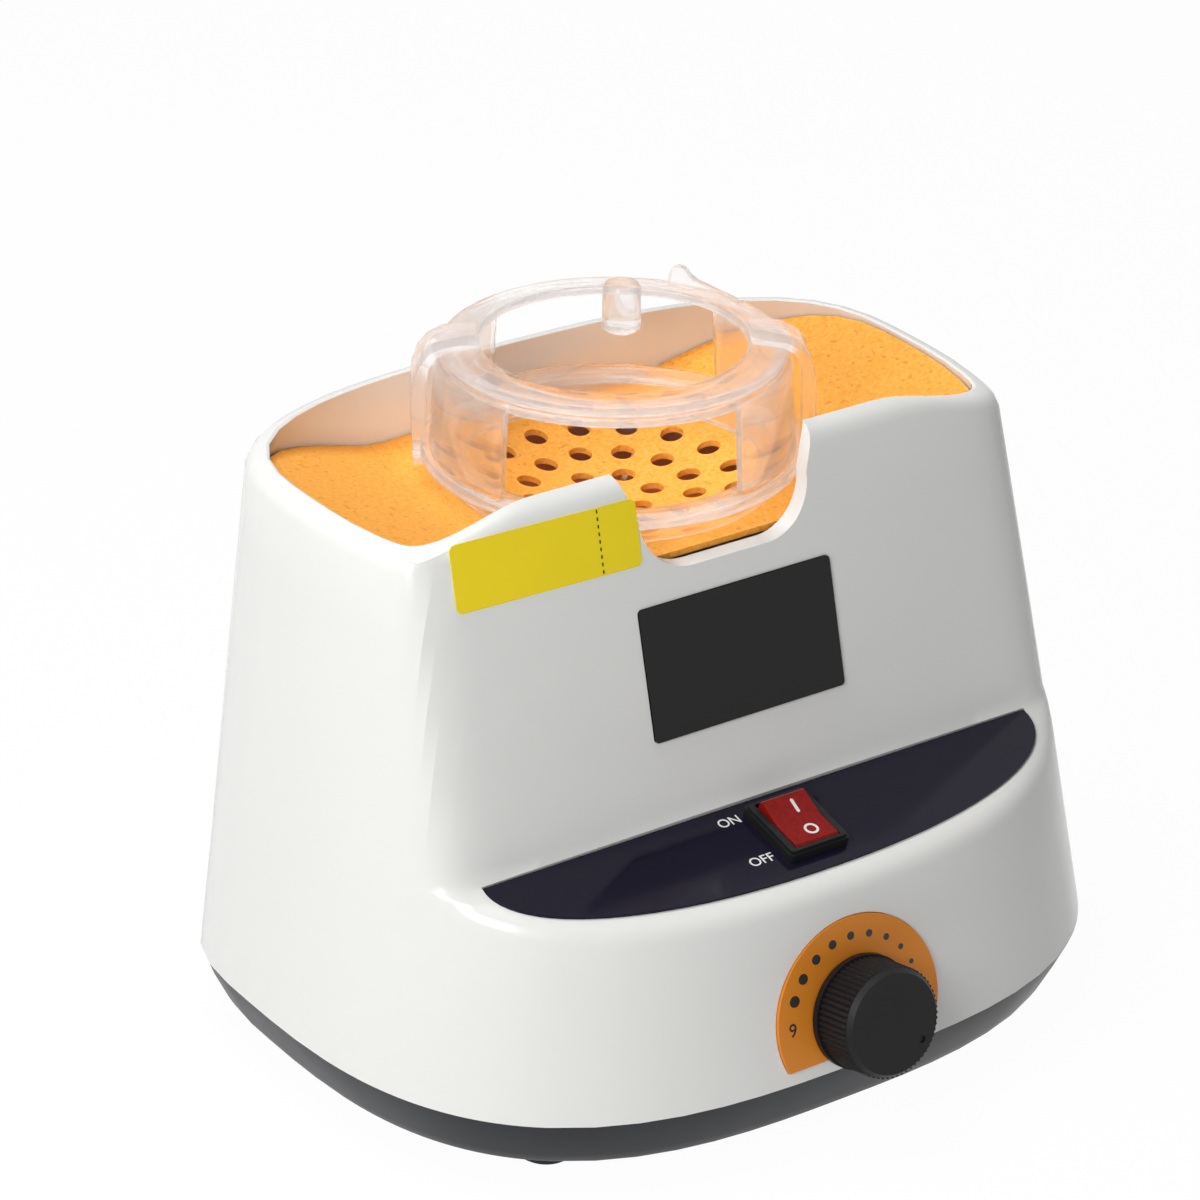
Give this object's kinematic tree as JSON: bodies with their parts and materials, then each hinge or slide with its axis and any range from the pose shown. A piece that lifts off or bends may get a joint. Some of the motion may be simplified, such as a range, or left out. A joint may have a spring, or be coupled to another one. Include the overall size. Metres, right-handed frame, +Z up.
{
  "type": "eyeglass frame warmer",
  "caption": "Counter-top spectacle frame warmer: moulded case on a dark base, lit rocker switch, heat knob, and a fan and heater blowing through a dished plate into a clear hood.",
  "frame": {"origin": "on the ground, at the middle of the box round the whole object", "axes": "+Z up, front faces -Y, +X to the right seen from the front"},
  "size_m": [0.2054, 0.1764, 0.1602],
  "materials": {
    "housing_white": "smooth, semi-gloss moulded",
    "base_grey": "fine-textured, satin",
    "rubber_black": "matt",
    "screw_steel": "zinc-plated",
    "panel_navy": "high gloss",
    "plaque_black": "satin gloss",
    "dial_orange": "printed, satin",
    "switch_black": "satin",
    "rocker_red": "translucent, gloss",
    "lamp_amber": "clear",
    "tag_steel": "tinned",
    "control_zinc": "die-cast",
    "knob_black": "satin, fine-ribbed",
    "plate_orange": "powder-coated, fine speckle",
    "duct_steel": "galvanised",
    "mica_sheet": "pearly",
    "heater_wire": "heat-stained",
    "cutout_ceramic": "matt ceramic and phenolic",
    "motor_steel": "plated",
    "fan_aluminium": "stamped",
    "board_green": "solder-masked",
    "heatsink_aluminium": "extruded",
    "terminal_white": "satin",
    "gland_black": "satin",
    "hood_clear": "clear, polished"
  },
  "bodies": {
    "case": {"housing_shell": "housing_white", "base_tray": "base_grey", "rubber_feet": "rubber_black", "base_screws": "screw_steel", "ledge_panel": "panel_navy", "front_plaque": "plaque_black", "dial_plate": "dial_orange", "switch_body": "switch_black", "switch_lamp": "lamp_amber", "switch_terminals": "tag_steel", "dimmer_body": "control_zinc", "dimmer_washer": "tag_steel", "dimmer_nut": "tag_steel", "top_plate": "plate_orange", "air_duct": "duct_steel", "heat_shield": "duct_steel", "mica_former": "mica_sheet", "heater_coil": "heater_wire", "thermal_cutout": "cutout_ceramic", "motor_bracket": "duct_steel", "bracket_screws": "screw_steel", "fan_motor": "motor_steel", "motor_screws": "screw_steel", "control_board": "board_green", "board_heatsink": "heatsink_aluminium", "board_screws": "screw_steel", "terminal_block": "terminal_white", "cable_gland": "gland_black", "gland_nut": "gland_black"},
    "rocker": {"switch_rocker": "rocker_red"},
    "knob": {"knob": "knob_black", "dimmer_shaft": "screw_steel"},
    "fan": {"fan_impeller": "fan_aluminium", "fan_shaft": "screw_steel"},
    "hood": {"hood_body": "hood_clear"},
    "shutter": {"shutter_ring": "hood_clear"}
  },
  "joints": [
    {"name": "rocker_press", "type": "hinge", "parent": "case", "child": "rocker", "pos_m": [0, -0.04685, 0.06209], "axis": [1, 0, 0], "range_deg": [-16, 0]},
    {"name": "heat_turn", "type": "hinge", "parent": "case", "child": "knob", "pos_m": [0, -0.07235, 0.028], "axis": [0, -0.9748, 0.2233], "range_deg": [0, 197]},
    {"name": "fan_spin", "type": "hinge", "parent": "case", "child": "fan", "pos_m": [0, 0.027, 0.05], "axis": [0, 0, 1], "continuous": true},
    {"name": "hood_lift", "type": "slide", "parent": "case", "child": "hood", "axis": [0, 0, 1], "range_m": [0, 0.05]},
    {"name": "shutter_turn", "type": "hinge", "parent": "hood", "child": "shutter", "pos_m": [0, 0.027, 0.147], "axis": [0, 0, 1], "range_deg": [-40, 60]}
  ]
}
